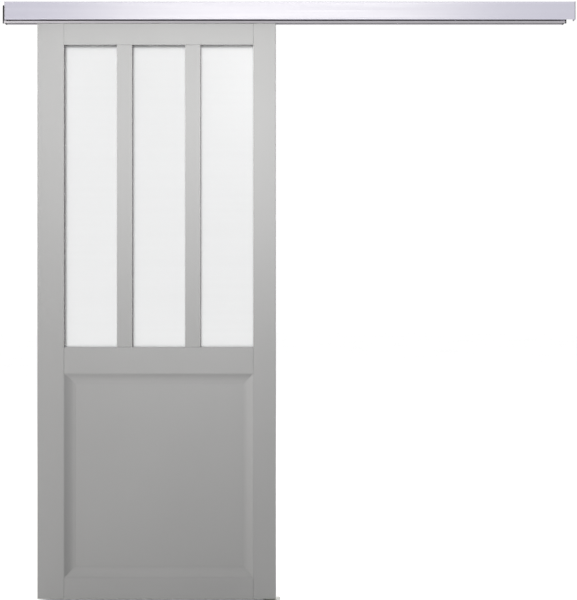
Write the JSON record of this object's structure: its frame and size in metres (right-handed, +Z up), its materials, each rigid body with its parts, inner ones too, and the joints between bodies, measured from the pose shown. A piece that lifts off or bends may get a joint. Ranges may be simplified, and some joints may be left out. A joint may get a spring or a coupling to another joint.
{
  "type": "sliding barn door hardware",
  "caption": "Wall rail with an aluminium fascia and roller carriages, carrying a half-glazed grey sliding leaf with frosted panes over a moulded lower panel.",
  "frame": {"origin": "the wall screw line at the middle of the fascia's length, on the wall's face", "axes": "+X along the rail, to the right as seen from the room; +Y into the wall, so the room is at -Y; +Z up"},
  "size_m": [2.0245, 0.074, 2.121],
  "materials": {
    "anodised_aluminium": "satin anodised, drawn along its length",
    "painted_wood": "light grey satin lacquer on engineered wood",
    "frosted_glass": "frosted, with faint level streaks",
    "black_plastic": "fine-textured moulded plastic",
    "grey_plastic": "fine-textured moulded plastic",
    "zinc_steel": "bright zinc plate",
    "white_nylon": "natural nylon",
    "black_rubber": "matt",
    "white_tape": "closed-cell glazing tape",
    "beech": "raw beech"
  },
  "bodies": {
    "rail": {"track": "anodised_aluminium", "fascia": "anodised_aluminium", "fascia_brackets": "anodised_aluminium", "fascia_bracket_screws": "zinc_steel", "fascia_end_cap_left": "grey_plastic", "fascia_end_cap_right": "grey_plastic", "track_end_cap_left": "black_plastic", "track_end_cap_right": "black_plastic", "end_stop_left": "zinc_steel", "end_stop_right": "zinc_steel", "stop_buffer_left": "black_rubber", "stop_buffer_right": "black_rubber", "stop_grub_screws_left": "zinc_steel", "stop_grub_screws_right": "zinc_steel", "floor_guide_base": "zinc_steel", "floor_guide_fin": "white_nylon", "floor_guide_fin_screws": "zinc_steel"},
    "leaf": {"left_stile": "painted_wood", "right_stile": "painted_wood", "top_rail": "painted_wood", "middle_rail": "painted_wood", "bottom_rail": "painted_wood", "left_glazing_bar": "painted_wood", "right_glazing_bar": "painted_wood", "left_glass": "frosted_glass", "middle_glass": "frosted_glass", "right_glass": "frosted_glass", "left_rear_beads": "painted_wood", "middle_rear_beads": "painted_wood", "right_rear_beads": "painted_wood", "glazing_gaskets": "white_tape", "lower_panel": "painted_wood", "front_panel_moulding": "painted_wood", "rear_panel_moulding": "painted_wood", "frame_dowels": "beech", "hanger_plate_left": "zinc_steel", "hanger_plate_right": "zinc_steel", "hanger_plate_screws_left": "zinc_steel", "hanger_plate_screws_right": "zinc_steel", "hanging_bolt_left": "zinc_steel", "hanging_bolt_right": "zinc_steel", "lock_nut_left": "zinc_steel", "lock_nut_right": "zinc_steel", "carriage_left": "black_plastic", "carriage_right": "black_plastic", "axles_left": "zinc_steel", "axles_right": "zinc_steel"},
    "wheel_left_carriage_left_front": {"wheel_left_carriage_left_front": "white_nylon"},
    "wheel_left_carriage_left_rear": {"wheel_left_carriage_left_rear": "white_nylon"},
    "wheel_left_carriage_right_front": {"wheel_left_carriage_right_front": "white_nylon"},
    "wheel_left_carriage_right_rear": {"wheel_left_carriage_right_rear": "white_nylon"},
    "wheel_right_carriage_left_front": {"wheel_right_carriage_left_front": "white_nylon"},
    "wheel_right_carriage_left_rear": {"wheel_right_carriage_left_rear": "white_nylon"},
    "wheel_right_carriage_right_front": {"wheel_right_carriage_right_front": "white_nylon"},
    "wheel_right_carriage_right_rear": {"wheel_right_carriage_right_rear": "white_nylon"}
  },
  "joints": [
    {"name": "leaf_slide", "type": "slide", "parent": "rail", "child": "leaf", "axis": [1, 0, 0], "range_m": [0, 0.81]},
    {"name": "wheel_left_carriage_left_front_spin", "type": "hinge", "parent": "leaf", "child": "wheel_left_carriage_left_front", "pos_m": [-0.816, -0.0425, -0.03295], "axis": [0, 1, 0], "continuous": true},
    {"name": "wheel_left_carriage_left_rear_spin", "type": "hinge", "parent": "leaf", "child": "wheel_left_carriage_left_rear", "pos_m": [-0.816, -0.0215, -0.03295], "axis": [0, 1, 0], "continuous": true},
    {"name": "wheel_left_carriage_right_front_spin", "type": "hinge", "parent": "leaf", "child": "wheel_left_carriage_right_front", "pos_m": [-0.766, -0.0425, -0.03295], "axis": [0, 1, 0], "continuous": true},
    {"name": "wheel_left_carriage_right_rear_spin", "type": "hinge", "parent": "leaf", "child": "wheel_left_carriage_right_rear", "pos_m": [-0.766, -0.0215, -0.03295], "axis": [0, 1, 0], "continuous": true},
    {"name": "wheel_right_carriage_left_front_spin", "type": "hinge", "parent": "leaf", "child": "wheel_right_carriage_left_front", "pos_m": [-0.18, -0.0425, -0.03295], "axis": [0, 1, 0], "continuous": true},
    {"name": "wheel_right_carriage_left_rear_spin", "type": "hinge", "parent": "leaf", "child": "wheel_right_carriage_left_rear", "pos_m": [-0.18, -0.0215, -0.03295], "axis": [0, 1, 0], "continuous": true},
    {"name": "wheel_right_carriage_right_front_spin", "type": "hinge", "parent": "leaf", "child": "wheel_right_carriage_right_front", "pos_m": [-0.13, -0.0425, -0.03295], "axis": [0, 1, 0], "continuous": true},
    {"name": "wheel_right_carriage_right_rear_spin", "type": "hinge", "parent": "leaf", "child": "wheel_right_carriage_right_rear", "pos_m": [-0.13, -0.0215, -0.03295], "axis": [0, 1, 0], "continuous": true}
  ],
  "couplings": [
    {"joint": "wheel_left_carriage_left_front_spin", "follows": "leaf_slide", "rad_per_m": 90.909},
    {"joint": "wheel_left_carriage_left_rear_spin", "follows": "leaf_slide", "rad_per_m": 90.909},
    {"joint": "wheel_left_carriage_right_front_spin", "follows": "leaf_slide", "rad_per_m": 90.909},
    {"joint": "wheel_left_carriage_right_rear_spin", "follows": "leaf_slide", "rad_per_m": 90.909},
    {"joint": "wheel_right_carriage_left_front_spin", "follows": "leaf_slide", "rad_per_m": 90.909},
    {"joint": "wheel_right_carriage_left_rear_spin", "follows": "leaf_slide", "rad_per_m": 90.909},
    {"joint": "wheel_right_carriage_right_front_spin", "follows": "leaf_slide", "rad_per_m": 90.909},
    {"joint": "wheel_right_carriage_right_rear_spin", "follows": "leaf_slide", "rad_per_m": 90.909}
  ]
}
